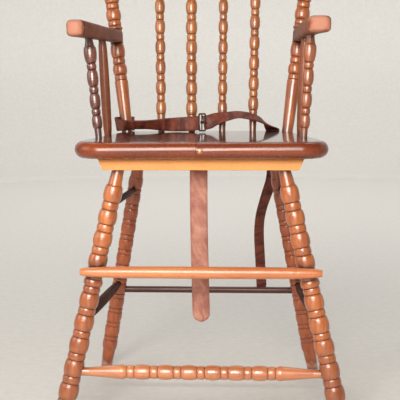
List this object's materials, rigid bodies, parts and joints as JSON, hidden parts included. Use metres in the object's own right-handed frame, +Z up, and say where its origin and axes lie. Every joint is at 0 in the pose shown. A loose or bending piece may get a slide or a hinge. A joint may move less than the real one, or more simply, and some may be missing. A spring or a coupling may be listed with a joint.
{
  "type": "baby high chair",
  "caption": "Turned wooden high chair with bead-and-ring legs and spindles, flat arms, a footrest rail, a leather waist belt and a crotch strap.",
  "frame": {"origin": "on the floor, below the middle of the chair's bounding box", "axes": "+X to the right as seen from in front, +Y to the chair's back, +Z up"},
  "size_m": [0.4812, 0.369, 0.9075],
  "materials": {
    "honey_wood": "glossy varnish",
    "brown_wood": "glossy varnish, darker",
    "pale_wood": "varnished, lighter",
    "leather": "worn",
    "dark_steel": "tarnished",
    "old_brass": "dull"
  },
  "bodies": {
    "chair": {"seat_board_left": "honey_wood", "seat_board_right": "honey_wood", "seat_tack": "old_brass", "front_cleat": "pale_wood", "rear_cleat": "pale_wood", "cleat_screws": "dark_steel", "front_leg_left": "honey_wood", "front_leg_right": "honey_wood", "rear_leg_left": "brown_wood", "rear_leg_right": "brown_wood", "footrest": "pale_wood", "footrest_screws": "dark_steel", "front_stretcher": "honey_wood", "rear_stretcher": "brown_wood", "side_stretcher_left": "brown_wood", "side_stretcher_right": "brown_wood", "upper_side_stretcher_left": "brown_wood", "upper_side_stretcher_right": "brown_wood", "back_post_left": "honey_wood", "back_post_right": "honey_wood", "back_spindle_1": "honey_wood", "back_spindle_2": "honey_wood", "back_spindle_3": "honey_wood", "back_spindle_4": "honey_wood", "crest_rail": "honey_wood", "arm_left": "brown_wood", "arm_right": "brown_wood", "arm_post_left": "honey_wood", "arm_post_right": "honey_wood", "arm_spindle_left": "brown_wood", "arm_spindle_right": "brown_wood", "arm_screws": "dark_steel", "belt_left": "leather", "belt_right": "leather", "belt_tack": "old_brass", "buckle_frame": "dark_steel", "crotch_strap_tab": "leather", "crotch_strap_screws": "dark_steel"},
    "crotch_strap": {"crotch_strap": "leather"},
    "belt_tail": {"belt_tail": "leather"},
    "buckle_prong": {"buckle_prong": "dark_steel"}
  },
  "joints": [
    {"name": "crotch_strap_swing", "type": "hinge", "parent": "chair", "child": "crotch_strap", "pos_m": [-0.005, -0.1027, 0.4362], "axis": [1, 0, 0], "range_deg": [-14, 60]},
    {"name": "belt_tail_swing", "type": "hinge", "parent": "chair", "child": "belt_tail", "pos_m": [0.121, 0.1248, 0.469], "axis": [1, 0, 0], "range_deg": [0, 35]},
    {"name": "buckle_prong_turn", "type": "hinge", "parent": "chair", "child": "buckle_prong", "pos_m": [-0.0081, 0.0683, 0.486], "axis": [0, 0, -1], "range_deg": [0, 90]}
  ]
}
